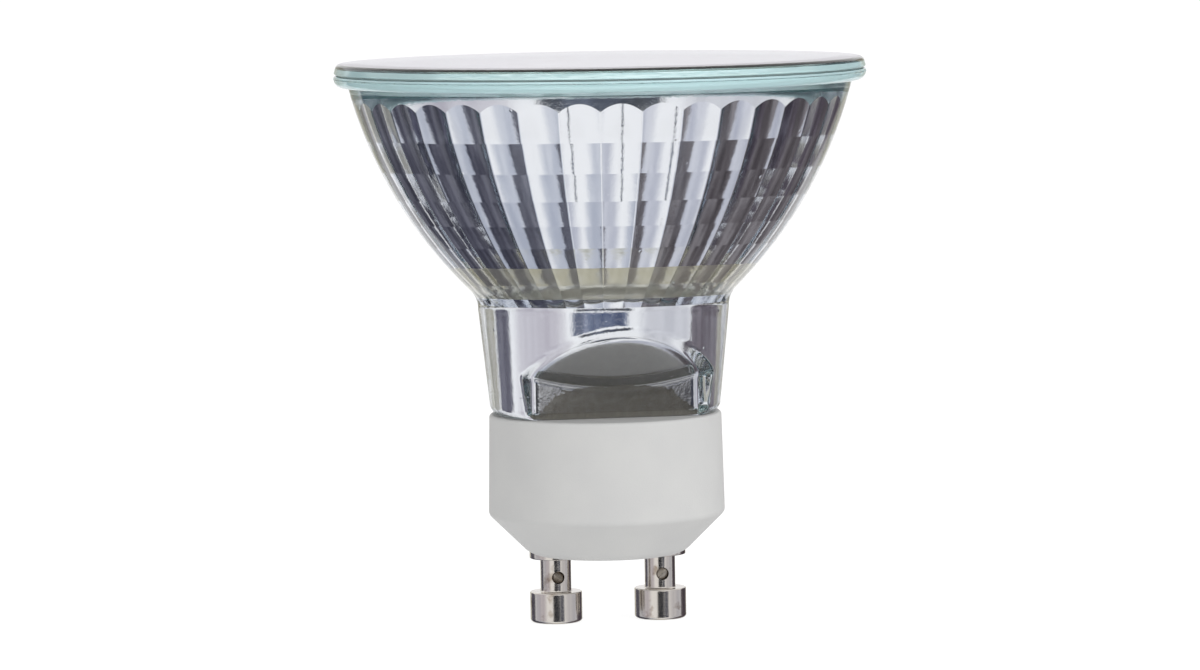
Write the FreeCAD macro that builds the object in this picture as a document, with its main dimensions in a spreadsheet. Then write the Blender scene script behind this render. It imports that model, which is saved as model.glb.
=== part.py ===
"""Reflector lamp with a two-pin twist-lock base.

The lamp axis is Z. The pins stand on z = 0, 10 mm apart along X, and the cover glass is on top.
All sizes are millimetres and degrees.
"""
import FreeCAD
import Part
import Sketcher
import math
import os
import re

SIZES = {
    # Contact pins, riveted into the ceramic base, and the plugs in their cross holes.
    "pin_spacing": 10.0,
    "pin_head_r": 2.45,
    "pin_head_h": 2.9,
    "pin_edge": 0.3,
    "pin_shank_r": 1.45,
    "pin_collar_bottom": 6.05,
    "pin_collar_top": 6.85,
    "pin_tail_r": 1.5,
    "pin_flare_r": 2.2,
    "pin_flare_h": 0.7,
    "cross_hole_r": 0.6,
    "cross_hole_z": 4.3,
    "plug_half": 1.3,
    # Ceramic base, a cup with a wide chamfer and a pocket for the cement.
    "base_bottom": 6.35,
    "base_bottom_r": 7.2,
    "base_low_r": 11.15,
    "base_chamfer_z": 10.25,
    "base_top": 19.7,
    "base_top_r": 10.95,
    "base_edge": 0.3,
    "pocket_floor": 10.4,
    "pocket_half_x": 3.0,
    "pocket_half_y": 5.4,
    # Reflector, outside.
    "neck_foot_r": 9.95,
    "neck_low_r": 10.9,
    "neck_low": 20.65,
    "neck_top": 30.9,
    "bowl_r": 41.7,
    "bowl_centre_r": -16.7,
    "bowl_centre_z": 61.17,
    "bowl_top": 50.75,
    "rim_r": 25.0,
    "rim_edge": 0.5,
    "rim_top": 51.85,
    # Reflector, inside. The rings of the facets lie on an arc with the centre of the bowl's arc.
    "bowl_wall": 1.9,
    "facet_count": 36.0,
    "ring_count": 8.0,
    "ring_top_angle": 12.6,
    "ring_first_angle": 21.86,
    "ring_step": 4.4,
    "ring_shrink": 0.94,
    "mouth_r": 21.1,
    "bore_r": 9.2,
    "bore_top": 32.4,
    # Recess on the front and the back of the neck, which stands out inside as a bump.
    "neck_wall": 1.7,
    "recess_flat": 6.6,
    "recess_crease_z": 22.44,
    "recess_slope": 47.5,
    "recess_brow_r": 42.0,
    "recess_reach": 14.0,
    "recess_top": 29.4,
    # Cover glass and seal.
    "seal_inner_r": 22.6,
    "seal_outer_r": 24.75,
    "glass_bottom": 51.95,
    "glass_shoulder": 52.35,
    "glass_shoulder_r": 24.8,
    "glass_top": 53.0,
    "glass_round": 0.65,
    # Capsule.
    "capsule_r": 5.0,
    "capsule_wall": 0.95,
    "capsule_foot": 29.2,
    "capsule_foot_r": 2.6,
    "capsule_shoulder": 32.4,
    "capsule_dome": 42.2,
    "capsule_dome_r": 5.6,
    "capsule_crown": 45.4,
    "tip_r": 0.6,
    "tip_top": 46.6,
    "pinch_bottom": 21.6,
    "pinch_top": 31.4,
    "pinch_half_x": 2.8,
    "pinch_half_y": 1.6,
    "room_foot": 31.9,
    "room_foot_r": 1.9,
    "room_rise": 2.1,
    "room_top_r": 1.6,
    # Wires and foils.
    "lead_x": 2.1,
    "lead_r": 0.38,
    "lead_bend_top": 19.0,
    "lead_bend_bottom": 14.6,
    "inner_lead_r": 0.25,
    "foil_w": 1.8,
    "foil_t": 0.12,
    "foil_bottom": 23.2,
    "foil_top": 28.2,
    "filament_r": 0.42,
    "filament_foot": 33.6,
    "filament_top": 40.9,
    "support_r": 0.16,
    "support_foot": 30.2,
    "eye_gap": 0.06,
    "eye_wall": 0.3,
    "eye_half": 0.24,
    # Cement.
    "cement_floor": 12.6,
    "cement_top": 27.4,
}

doc = FreeCAD.newDocument("spotlight_bulb")
sheet = doc.addObject("Spreadsheet::Sheet", "dims")
for row, (alias, size) in enumerate(SIZES.items(), start=1):
    sheet.set(f"A{row}", alias)
    sheet.set(f"B{row}", str(size))
    sheet.setAlias(f"B{row}", alias)
doc.recompute()


def bound(text):
    """The expression with each size written as a reference to the sheet."""
    return re.sub(r"[a-z]\w*", lambda m: f"dims.{m[0]}" if m[0] in SIZES else m[0], text)


def number(text):
    """The present value of an expression in the sizes."""
    return float(sheet.evalExpression(bound(text)))


def drive(thing, **sizes):
    """Binds properties of an object to expressions, with two underscores for a dot."""
    for name, text in sizes.items():
        thing.setExpression(name.replace("__", "."), bound(text))


def made(kind, label):
    """A new object of the document that shows its own name."""
    thing = doc.addObject(kind, label)
    thing.Label = label
    return thing


def new_sketch(body, name, role, height="0"):
    """An empty sketch on one of the body's own planes, moved along the plane's normal."""
    sketch = body.newObject("Sketcher::SketchObject", name)
    plane = next(item for item in body.Origin.OriginFeatures if item.Role == role)
    sketch.AttachmentSupport = [(plane, "")]
    sketch.MapMode = "FlatFace"
    drive(sketch, AttachmentOffset__Base__z=height)
    return sketch


def hold(sketch, name, text, kind, *where):
    """Adds a dimension whose value is an expression."""
    index = sketch.addConstraint(Sketcher.Constraint(kind, *where, number(text)))
    sketch.renameConstraint(index, name)
    drive(sketch, **{"Constraints__" + name: text})


def pin_point(sketch, name, geo, end, x, y):
    """Ties one end of a curve, or its centre, to a place given by two expressions."""
    hold(sketch, name + "x", x, "DistanceX", -1, 1, geo, end)
    hold(sketch, name + "y", y, "DistanceY", -1, 1, geo, end)


def trace(body, name, role, corners, closed=True, height="0"):
    """A sketch that runs from corner to corner.

    A corner is (x, y), or (x, y, radius) where an arc leads to it from the corner before, turning
    counter-clockwise. Sizes are expressions.
    """
    sketch = new_sketch(body, name, role, height)
    places = [FreeCAD.Vector(number(c[0]), number(c[1]), 0) for c in corners]
    first = 0 if closed else 1
    for i in range(first, len(corners)):
        start, stop = places[i - 1], places[i]
        if len(corners[i]) == 2:
            sketch.addGeometry(Part.LineSegment(start, stop))
            continue
        radius = number(corners[i][2])
        chord = stop - start
        left = FreeCAD.Vector(-chord.y, chord.x, 0).normalize()
        centre = (start + stop) * 0.5 + left * math.sqrt(radius ** 2 - (chord.Length / 2) ** 2)
        turns = [math.atan2(p.y - centre.y, p.x - centre.x) for p in (start, stop)]
        circle = Part.Circle(centre, FreeCAD.Vector(0, 0, 1), radius)
        sketch.addGeometry(Part.ArcOfCircle(circle, *turns))
    count = sketch.GeometryCount
    for geo in range(count if closed else count - 1):
        sketch.addConstraint(Sketcher.Constraint("Coincident", geo, 2, (geo + 1) % count, 1))
    if not closed:
        pin_point(sketch, "corner0", 0, 1, *corners[0])
    for geo, corner in enumerate(corners[first:]):
        pin_point(sketch, f"corner{geo + first}", geo, 2, *corner[:2])
        if len(corner) == 3:
            hold(sketch, f"radius{geo + first}", corner[2], "Radius", geo)
    return sketch


def circles(body, name, role, radius, places, height="0"):
    """A sketch of equal circles, each at an (x, y) pair of expressions."""
    sketch = new_sketch(body, name, role, height)
    for i, (x, y) in enumerate(places):
        centre = FreeCAD.Vector(number(x), number(y), 0)
        geo = sketch.addGeometry(Part.Circle(centre, FreeCAD.Vector(0, 0, 1), number(radius)))
        pin_point(sketch, f"centre{i}", geo, 3, x, y)
        hold(sketch, f"radius{i}", radius, "Radius", geo)
    return sketch


def stadium(body, name, half_x, half_y, height):
    """A level sketch of a slot with round ends: straight half length and half width."""
    sketch = new_sketch(body, name, "XY_Plane", height)
    along, across = number(half_x), number(half_y)
    for way in (1, -1):
        circle = Part.Circle(FreeCAD.Vector(way * along, 0, 0), FreeCAD.Vector(0, 0, 1), across)
        sketch.addGeometry(Part.ArcOfCircle(circle, -way * math.pi / 2, way * math.pi / 2))
        begin = FreeCAD.Vector(way * along, way * across, 0)
        sketch.addGeometry(Part.LineSegment(begin, FreeCAD.Vector(-begin.x, begin.y, 0)))
    count = sketch.GeometryCount
    for geo in range(count):
        sketch.addConstraint(Sketcher.Constraint("Tangent", geo, 2, (geo + 1) % count, 1))
    right, left = 0, 2
    pin_point(sketch, "right", right, 3, half_x, "0")
    pin_point(sketch, "left", left, 3, f"-{half_x}", "0")
    hold(sketch, "radius", half_y, "Radius", right)
    sketch.addConstraint(Sketcher.Constraint("Equal", right, left))
    return sketch


def revolve(body, sketch, kind="PartDesign::Revolution"):
    """Turns a half section about the upright axis, as an addition or as a groove."""
    feature = body.newObject(kind, sketch.Name + "_turned")
    feature.Profile = sketch
    feature.ReferenceAxis = (sketch, ["V_Axis"])
    feature.Angle = 360


def turned(label, corners):
    """A body turned about Z from a half section of (radius, height) corners."""
    body = made("PartDesign::Body", label)
    revolve(body, trace(body, label + "_section", "XZ_Plane", corners))
    return body


def pad(body, sketch, length):
    """Raises a sketch to a solid."""
    feature = body.newObject("PartDesign::Pad", sketch.Name + "_pad")
    feature.Profile = sketch
    drive(feature, Length=length)


def pocket(body, sketch, length, upward=False, both_ways=False):
    """Sinks a sketch into the body, downwards unless told otherwise."""
    feature = body.newObject("PartDesign::Pocket", sketch.Name + "_cut")
    feature.Profile = sketch
    feature.Reversed = upward
    feature.Midplane = both_ways
    drive(feature, Length=length)


def wire(label, corners, radius):
    """A round wire with mitred bends along a path in the XZ plane that starts straight up or down."""
    body = made("PartDesign::Body", label)
    path = trace(body, label + "_path", "XZ_Plane", corners, closed=False)
    section = circles(body, label + "_section", "XY_Plane", radius, [(corners[0][0], "0")], corners[0][1])
    doc.recompute()
    pipe = body.newObject("PartDesign::AdditivePipe", label + "_pipe")
    pipe.Profile = section
    pipe.Spine = (path, [f"Edge{i}" for i in range(1, len(corners))])
    pipe.Transition = "Right corner"
    return body


def cut(label, base, *tools):
    """The base with each tool taken away in turn."""
    for i, tool in enumerate(tools, start=1):
        base_before = base
        base = made("Part::Cut", label if i == len(tools) else f"{label}_stage{i}")
        base.Base = base_before
        base.Tool = tool
    return base


def round_bar(label, radius, bottom, length, x="0"):
    """An upright cylinder on a given floor."""
    bar = made("Part::Cylinder", label)
    drive(bar, Radius=radius, Height=length, Placement__Base__x=x, Placement__Base__z=bottom)
    return bar


SIDES = {"left": "-1", "right": "1"}
ABOUT_X = FreeCAD.Vector(1, 0, 0)
ABOUT_Y = FreeCAD.Vector(0, 1, 0)

# Contact pins with the plugs that close their cross holes.
pins = []
plugs = []
for side, sign in SIDES.items():
    place = f"{sign} * pin_spacing / 2"
    pin = turned(f"contact_pin_{side}", [
        ("0", "0"),
        ("pin_head_r - pin_edge", "0"),
        ("pin_head_r", "pin_edge"),
        ("pin_head_r", "pin_head_h - pin_edge / 2"),
        ("pin_head_r - pin_edge / 2", "pin_head_h"),
        ("pin_shank_r", "pin_head_h"),
        ("pin_shank_r", "pin_collar_bottom"),
        ("pin_head_r", "pin_collar_bottom"),
        ("pin_head_r", "pin_collar_top"),
        ("pin_tail_r", "pin_collar_top"),
        ("pin_tail_r", "pocket_floor"),
        ("pin_flare_r", "pocket_floor"),
        ("pin_tail_r", "pocket_floor + pin_flare_h"),
        ("lead_r", "pocket_floor + pin_flare_h"),
        ("lead_r", "cross_hole_z"),
        ("0", "cross_hole_z"),
    ])
    hole = circles(pin, f"cross_hole_{side}", "XZ_Plane", "cross_hole_r", [("0", "cross_hole_z")])
    pocket(pin, hole, "2 * pin_head_r", both_ways=True)
    drive(pin, Placement__Base__x=place)
    pins.append(pin)

    plug = made("Part::Cylinder", f"solder_plug_{side}")
    plug.Placement.Rotation = FreeCAD.Rotation(ABOUT_X, 90)
    drive(plug, Radius="cross_hole_r", Height="2 * plug_half", Placement__Base__x=place,
          Placement__Base__y="plug_half", Placement__Base__z="cross_hole_z")
    plugs.append(plug)

# Ceramic base.
base = turned("ceramic_base", [
    ("0", "base_bottom"),
    ("base_bottom_r", "base_bottom"),
    ("base_low_r", "base_chamfer_z"),
    ("base_top_r", "base_top - base_edge"),
    ("base_top_r - base_edge", "base_top"),
    ("0", "base_top"),
])
pin_places = [(f"{sign} * pin_spacing / 2", "0") for sign in SIDES.values()]
cement_pocket = stadium(base, "cement_pocket", "pocket_half_x", "pocket_half_y", "base_top")
pocket(base, cement_pocket, "base_top - pocket_floor")
pin_holes = circles(base, "pin_holes", "XY_Plane", "pin_tail_r", pin_places, "base_bottom")
pocket(base, pin_holes, "pocket_floor - base_bottom", upward=True)
collar_seats = circles(base, "collar_seats", "XY_Plane", "pin_head_r", pin_places, "base_bottom")
pocket(base, collar_seats, "pin_collar_top - base_bottom", upward=True)


def bowl_reach(height):
    """Radius of the bowl's outside at a height on its arc."""
    return f"bowl_centre_r + sqrt(bowl_r ^ 2 - (bowl_centre_z - {height}) ^ 2)"


# Reflector blank: neck, bowl and rim.
blank = turned("reflector_blank", [
    ("0", "base_top"),
    ("neck_foot_r", "base_top"),
    ("neck_low_r", "neck_low"),
    (bowl_reach("neck_top"), "neck_top"),
    (bowl_reach("bowl_top"), "bowl_top", "bowl_r"),
    ("rim_r - rim_edge", "bowl_top"),
    ("rim_r", "bowl_top + rim_edge"),
    ("rim_r", "rim_top"),
    ("0", "rim_top"),
])

# Mirror cavity: rings of straight-sided polygons, joined by flat facets and trimmed by the round mouth.
ring_angles = ["ring_top_angle"] + [
    f"(ring_first_angle + ring_step * (1 - ring_shrink ^ {k}) / (1 - ring_shrink))"
    for k in range(int(number("ring_count")))
]
rings = []
for k, angle in enumerate(ring_angles):
    ring = made("Part::RegularPolygon", f"facet_ring_{k}")
    drive(ring, Polygon="facet_count",
          Circumradius=f"bowl_centre_r + (bowl_r - bowl_wall) * cos({angle})",
          Placement__Base__z=f"bowl_centre_z - (bowl_r - bowl_wall) * sin({angle})")
    rings.append(ring)
facets = made("Part::Loft", "facets")
facets.Sections = rings
facets.Solid = True
facets.Ruled = True
mouth = round_bar("mouth", "mouth_r", "base_top", "glass_top - base_top")
cavity = made("Part::Common", "mirror_cavity")
cavity.Base = facets
cavity.Tool = mouth


def recesses(label, inset):
    """Front and back cutter of the recess: a block with a big slanting cylinder taken away, which leaves
    the brow. With an inset they give the bumps on the inside of the wall."""
    block = made("Part::Box", label + "_block")
    drive(block, Length="2 * recess_reach", Width=f"recess_reach - recess_flat + {inset}",
          Height="recess_top - base_top + 1", Placement__Base__x="-recess_reach",
          Placement__Base__y="-recess_reach", Placement__Base__z="base_top - 1")
    brow = made("Part::Cylinder", label + "_brow")
    brow.Placement.Rotation = FreeCAD.Rotation(ABOUT_X, 90 - SIZES["recess_slope"])
    drive(brow, Radius=f"recess_brow_r - {inset}", Height="4 * recess_reach",
          Placement__Base__y="-recess_flat + recess_brow_r * sin(recess_slope) "
                             "+ 2 * recess_reach * cos(recess_slope)",
          Placement__Base__z="recess_crease_z + recess_brow_r * cos(recess_slope) "
                             "- 2 * recess_reach * sin(recess_slope)",
          Placement__Rotation__Angle="90 - recess_slope")
    front = cut(label + "_front", block, brow)
    back = made("Part::Mirroring", label + "_back")
    back.Source = front
    back.Normal = ABOUT_Y
    return front, back


# Neck: a round bore with a bump behind each recess, so that the wall stays even.
bumps = recesses("bump", "neck_wall")
bore = round_bar("neck_bore", "bore_r", "base_top", "bore_top - base_top")
neck_room = cut("neck_room", bore, *bumps)
reflector = cut("reflector", blank, cavity, neck_room, *recesses("recess", "0"))

# Cover glass, whose rounded edge is two slopes, and its seal.
cover = turned("cover_glass", [
    ("0", "glass_bottom"),
    ("rim_r", "glass_bottom"),
    ("glass_shoulder_r", "glass_shoulder"),
    ("glass_shoulder_r - glass_round * (1 - cos(45))", "glass_shoulder + glass_round * sin(45)"),
    ("glass_shoulder_r - glass_round", "glass_top"),
    ("0", "glass_top"),
])
seal = turned("lens_seal", [
    ("seal_inner_r", "rim_top"),
    ("seal_outer_r", "rim_top"),
    ("seal_outer_r", "glass_bottom"),
    ("seal_inner_r", "glass_bottom"),
])

# Wires and foils inside the capsule, and the wires from it down into the pins.
inner_leads = []
foils = []
outer_leads = []
for side, sign in SIDES.items():
    inner_leads.append(round_bar(f"inner_lead_{side}", "inner_lead_r", "foil_top",
                                 "filament_foot - foil_top", f"{sign} * lead_x"))
    foil = made("Part::Box", f"seal_foil_{side}")
    drive(foil, Length="foil_w", Width="foil_t", Height="foil_top - foil_bottom",
          Placement__Base__x=f"{sign} * lead_x - foil_w / 2", Placement__Base__y="-foil_t / 2",
          Placement__Base__z="foil_bottom")
    foils.append(foil)
    outer_leads.append(wire(f"outer_lead_{side}", [
        (f"{sign} * lead_x", "foil_bottom"),
        (f"{sign} * lead_x", "lead_bend_top"),
        (f"{sign} * pin_spacing / 2", "lead_bend_bottom"),
        (f"{sign} * pin_spacing / 2", "cross_hole_z + cross_hole_r"),
    ], "lead_r"))
filament = wire("filament", [
    ("-lead_x", "filament_foot"),
    ("-lead_x", "filament_top"),
    ("lead_x", "filament_top"),
    ("lead_x", "filament_foot"),
], "filament_r")

# Filament support: a stem with an eye round the top run of the filament.
eye_r = "filament_r + eye_gap"
stem = round_bar("support_stem", "support_r", "support_foot",
                 f"filament_top - ({eye_r} + eye_wall / 2) - support_foot")
eye = turned("support_eye", [
    (eye_r, "-eye_half"),
    (f"{eye_r} + eye_wall", "-eye_half"),
    (f"{eye_r} + eye_wall", "eye_half"),
    (eye_r, "eye_half"),
])
eye.Placement.Rotation = FreeCAD.Rotation(ABOUT_Y, 90)
drive(eye, Placement__Base__z="filament_top")
support = made("Part::Fuse", "filament_support")
support.Base = stem
support.Tool = eye

# Capsule: bulb and pinch outside, one sealed room inside, and the wires and foils let in.
shell = turned("capsule_shell", [
    ("0", "capsule_foot"),
    ("capsule_foot_r", "capsule_foot"),
    ("capsule_r", "capsule_shoulder"),
    ("capsule_r", "capsule_dome"),
    ("tip_r", "capsule_crown", "capsule_dome_r"),
    ("tip_r", "tip_top"),
    ("0", "tip_top"),
])
pinch = stadium(shell, "pinch_outline", "pinch_half_x", "pinch_half_y", "pinch_bottom")
pad(shell, pinch, "pinch_top - pinch_bottom")
room = trace(shell, "capsule_room", "XZ_Plane", [
    ("0", "room_foot"),
    ("room_foot_r", "room_foot"),
    ("capsule_r - capsule_wall", "capsule_shoulder + capsule_wall"),
    ("capsule_r - capsule_wall", "capsule_dome"),
    ("room_top_r", "capsule_dome + room_rise"),
    ("0", "capsule_dome + room_rise"),
])
revolve(shell, room, "PartDesign::Groove")
capsule = cut("quartz_capsule", shell, *inner_leads, *foils, *outer_leads, support)

# Cement in the neck and in the pocket of the base, cast round the pinch and the wires.
cement_bore = round_bar("cement_bore", "bore_r", "base_top", "cement_top - base_top")
filling = made("PartDesign::Body", "pocket_filling")
pocket_fill = stadium(filling, "pocket_fill", "pocket_half_x", "pocket_half_y", "cement_floor")
pad(filling, pocket_fill, "base_top - cement_floor")
cast = made("Part::Fuse", "cement_cast")
cast.Base = cut("cement_neck", cement_bore, *bumps)
cast.Tool = filling
cement = cut("cement_plug", cast, shell, *outer_leads)

doc.recompute()

SUB_PARTS = [
    cover, seal, reflector, base, *pins, *plugs, capsule, filament, support, *inner_leads, *foils,
    *outer_leads, cement,
]
for thing in doc.Objects:
    if "Invalid" in thing.State or "Error" in thing.State:
        raise RuntimeError(f"{thing.Name} does not build: {thing.State}")
os.makedirs("parts", exist_ok=True)
for thing in SUB_PARTS:
    shape = thing.Shape
    if shape.isNull() or not shape.isValid() or len(shape.Solids) != 1:
        raise RuntimeError(f"{thing.Label} is not one valid solid")
    shape.exportStep(f"parts/{thing.Label}.step")
    print(f"{thing.Label}: {shape.Volume:.2f} mm3, {len(shape.Faces)} faces")
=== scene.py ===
"""Looks of a reflector lamp: pressed glass with a mirror film, cover glass, ceramic base, nickel pins.

Shapes are worked out in millimetres, as on a drawing, and put into the meshes in metres.
"""

import math

import bpy
import numpy as np
from mathutils import Matrix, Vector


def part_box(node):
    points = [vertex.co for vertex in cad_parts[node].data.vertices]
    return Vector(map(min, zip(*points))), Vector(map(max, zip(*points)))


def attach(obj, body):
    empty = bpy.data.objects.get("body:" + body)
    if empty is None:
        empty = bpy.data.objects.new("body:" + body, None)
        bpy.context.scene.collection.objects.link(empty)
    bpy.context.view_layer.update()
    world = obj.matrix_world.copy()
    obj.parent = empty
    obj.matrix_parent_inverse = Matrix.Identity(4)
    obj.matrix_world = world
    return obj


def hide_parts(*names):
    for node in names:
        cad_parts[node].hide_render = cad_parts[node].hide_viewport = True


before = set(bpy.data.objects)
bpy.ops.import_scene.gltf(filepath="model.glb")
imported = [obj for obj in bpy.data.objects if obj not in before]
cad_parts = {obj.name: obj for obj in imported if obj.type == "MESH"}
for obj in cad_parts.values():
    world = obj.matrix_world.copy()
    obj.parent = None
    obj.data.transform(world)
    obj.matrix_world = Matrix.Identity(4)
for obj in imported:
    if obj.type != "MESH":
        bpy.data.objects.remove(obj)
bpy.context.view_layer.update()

MM = 0.001
scene = bpy.context.scene


def span(node):
    """Lowest and highest corner of a CAD node, in millimetres."""
    low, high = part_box(node)
    return np.array(low) / MM, np.array(high) / MM


# Sizes that come from the frame.
COVER_LOW, COVER_HIGH = span("cover_glass")
BASE_LOW, BASE_HIGH = span("ceramic_base")
PIN_LOW, PIN_HIGH = span("contact_pin_right")
PLUG_LOW, PLUG_HIGH = span("solder_plug_right")
CAPSULE_LOW, CAPSULE_HIGH = span("quartz_capsule")
FILAMENT_LOW, FILAMENT_HIGH = span("filament")
BASE_TOP = BASE_HIGH[2]
RIM_TOP = span("reflector")[1][2]
RIM_R = COVER_HIGH[0]
PIN_X = (PIN_LOW[0] + PIN_HIGH[0]) / 2
PIN_HEAD_R = (PIN_HIGH[0] - PIN_LOW[0]) / 2
HOLE_Z = (PLUG_LOW[2] + PLUG_HIGH[2]) / 2
HOLE_R = (PLUG_HIGH[2] - PLUG_LOW[2]) / 2
# Left free between pieces that would touch in one plane.
AIR_GAP = 0.03


# Surfaces

# Edges between faces that turn by more than this many degrees are hard.
CREASE = 30
# Largest share of a straight run that is taken by the margin beside a rounding.
MARGIN_SHARE = 0.4


def arc(start, stop, radius, steps):
    """Points on a circle from start to stop, without the start. The centre lies to the left of the
    way for a positive radius and to the right for a negative one."""
    start, stop = np.array(start, float), np.array(stop, float)
    half = (stop - start) / 2
    reach = math.hypot(*half)
    left = np.array([-half[1], half[0]]) / reach
    centre = start + half + left * math.copysign(math.sqrt(radius ** 2 - reach ** 2), radius)
    first = math.atan2(*(start - centre)[::-1])
    sweep = math.copysign(2 * math.asin(reach / abs(radius)), radius)
    turn = first + sweep * np.arange(1, steps + 1) / steps
    return centre + abs(radius) * np.stack([np.cos(turn), np.sin(turn)], axis=-1)


def run(start, stop, steps):
    """Evenly spaced points on a straight line from start to stop, without the start."""
    part = np.arange(1, steps + 1)[:, None] / steps
    return np.array(start, float) * (1 - part) + np.array(stop, float) * part


def rounded(corners, steps=6, margin=0.12):
    """A section line through corners (r, z, radius): where the radius isn't zero the line leaves each
    straight run radius * tan(turn / 2) before the corner and follows a circle to the next run. A point
    a small margin away from each circle keeps the shading of the straight runs flat."""
    corners = [np.array(c, float) for c in corners]
    line = [corners[0][:2]]
    for before, here, after in zip(corners, corners[1:], corners[2:]):
        way_in, way_out = here[:2] - before[:2], after[:2] - here[:2]
        long_in, long_out = math.hypot(*way_in), math.hypot(*way_out)
        way_in, way_out = way_in / long_in, way_out / long_out
        if here[2] == 0:
            line.append(here[:2])
            continue
        turn = math.atan2(way_in[0] * way_out[1] - way_in[1] * way_out[0], way_in @ way_out)
        back = here[2] * math.tan(abs(turn) / 2)
        start, stop = here[:2] - way_in * back, here[:2] + way_out * back
        line.append(start - way_in * min(margin, MARGIN_SHARE * (long_in - back)))
        line.append(start)
        line.extend(arc(start, stop, math.copysign(here[2], turn), steps))
        line.append(stop + way_out * min(margin, MARGIN_SHARE * (long_out - back)))
    line.append(corners[-1][:2])
    return np.array(line)


def net(rows, columns, first=0, ring=False):
    """Four-cornered faces (i, j), (i, j + 1), (i + 1, j + 1), (i + 1, j) of a grid that closes round in
    its columns, and in its rows too if it is a ring."""
    i = np.arange(rows if ring else rows - 1)[:, None]
    j = np.arange(columns)[None, :]
    above, beside = (i + 1) % rows, (j + 1) % columns
    corners = [i * columns + j, i * columns + beside, above * columns + beside, above * columns + j]
    return (first + np.stack(np.broadcast_arrays(*corners), axis=-1)).reshape(-1, 4).tolist()


def fan(columns, first, pole, upward):
    """Triangles between one row of a grid and a pole above or below it."""
    here = first + np.arange(columns)
    beside = first + (np.arange(columns) + 1) % columns
    pair = (here, beside) if upward else (beside, here)
    return np.stack([*pair, np.full(columns, pole)], axis=-1).tolist()


def round_the_axis(section, columns):
    """Grid of a turned surface: (r cos a, r sin a, z) for each section point (r, z) and angle a."""
    angle = np.arange(columns) * 2 * math.pi / columns
    r, z = np.asarray(section).T[:, :, None]
    return np.stack(np.broadcast_arrays(r * np.cos(angle), r * np.sin(angle), z), axis=-1)


def closed_skin(grid, first=0):
    """Points and faces of a grid whose first and last rows have shrunk to poles."""
    rows, columns = grid.shape[0] - 2, grid.shape[1]
    points = np.concatenate([grid[1:-1].reshape(-1, 3), grid[:1, 0], grid[-1:, 0]])
    count = rows * columns
    faces = net(rows, columns, first)
    faces += fan(columns, first, first + count, upward=False)
    faces += fan(columns, first + count - columns, first + count + 1, upward=True)
    return points, faces


def make_piece(name, points, faces, finishes, crease=CREASE):
    """An object at the origin with its place in its mesh, smooth apart from edges over the crease."""
    mesh = bpy.data.meshes.new(name)
    mesh.from_pydata((np.asarray(points) * MM).tolist(), [], faces, shade_flat=False)
    for finish in finishes:
        mesh.materials.append(finish)
    mesh.set_sharp_from_angle(angle=math.radians(crease))
    thing = bpy.data.objects.new(name, mesh)
    scene.collection.objects.link(thing)
    return thing


def stands_for(thing, node):
    """Lets a piece ride on the lamp in place of a CAD node."""
    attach(thing, "root")
    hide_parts(node)


def carve(thing, *cutters):
    """Cuts closed meshes, each given as points and faces, out of a piece."""
    for number, (points, faces) in enumerate(cutters):
        cutter = make_piece(f"cutter_{number}", points, faces, [])
        difference = thing.modifiers.new("difference", "BOOLEAN")
        difference.operation = "DIFFERENCE"
        difference.solver = "EXACT"
        difference.object = cutter
        bpy.context.view_layer.update()
        cut = thing.evaluated_get(bpy.context.evaluated_depsgraph_get())
        cut_mesh = bpy.data.meshes.new_from_object(cut)
        thing.modifiers.clear()
        thing.data = cut_mesh
        bpy.data.objects.remove(cutter)
    thing.data.set_sharp_from_angle(angle=math.radians(CREASE))


def bar(radius, low, high, centre=(0, 0), columns=64):
    """A closed upright cylinder between two heights."""
    grid = round_the_axis([(0, low), (radius, low), (radius, high), (0, high)], columns)
    return closed_skin(grid + np.array([*centre, 0]))


def stadium_radius(angle, half_x, half_y):
    """Distance from the centre of a slot with round ends to its outline, at an angle. Half of a straight
    side is half_x and the radius of the ends half_y: the sides give half_y / |sin|, and the ends give
    half_x |cos| + sqrt(half_y^2 - half_x^2 sin^2)."""
    across, along = np.abs(np.sin(angle)), np.abs(np.cos(angle))
    on_side = half_y * along <= half_x * across
    side = half_y / np.maximum(across, 1e-6)
    end = half_x * along + np.sqrt(np.maximum(half_y ** 2 - (half_x * across) ** 2, 0))
    return np.where(on_side, side, end)


def soft_min(a, b, width):
    """The smaller of two lengths, with a rounded change-over about as wide as given."""
    mix = np.clip(0.5 + 0.5 * (b - a) / width, 0, 1)
    return b + (a - b) * mix - width * mix * (1 - mix)


def soft_max(a, b, width):
    """The larger of two lengths, with a rounded change-over."""
    return -soft_min(-a, -b, width)


# Materials

FILM_FOOT = 20.2
# Thin places of the mirror film: their reach from the axis at the foot of the film in x, y and z, with None
# for a way that doesn't count, the share of the film that is left there, and how ragged their edge is.
THIN_FILM = [
    ((7.0, None, 3.0), 0.0, 0.5),
    ((9.0, 9.0, None), 0.42, 0.05),
]
# Half width of the fade at that edge, as a share of the reach.
FILM_FADE = 0.03


def linear(code):
    """Linear colour of an sRGB hex value: c / 12.92 up to 0.04045, else ((c + 0.055) / 1.055)^2.4."""
    c = np.array([int(code[i:i + 2], 16) for i in (1, 3, 5)]) / 255
    return (*np.where(c <= 0.04045, c / 12.92, ((c + 0.055) / 1.055) ** 2.4), 1.0)


def add(tree, kind, inputs=None, outputs=None, **settings):
    """A node with its own settings, its inputs as numbers or as links from other sockets, and the
    sockets that its outputs go to."""
    node = tree.nodes.new(kind)
    for name, value in settings.items():
        setattr(node, name, value)
    for name, value in (inputs or {}).items():
        if isinstance(value, bpy.types.NodeSocket):
            tree.links.new(value, node.inputs[name])
        else:
            node.inputs[name].default_value = value
    for name, target in (outputs or {}).items():
        tree.links.new(node.outputs[name], target)
    return node


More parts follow.
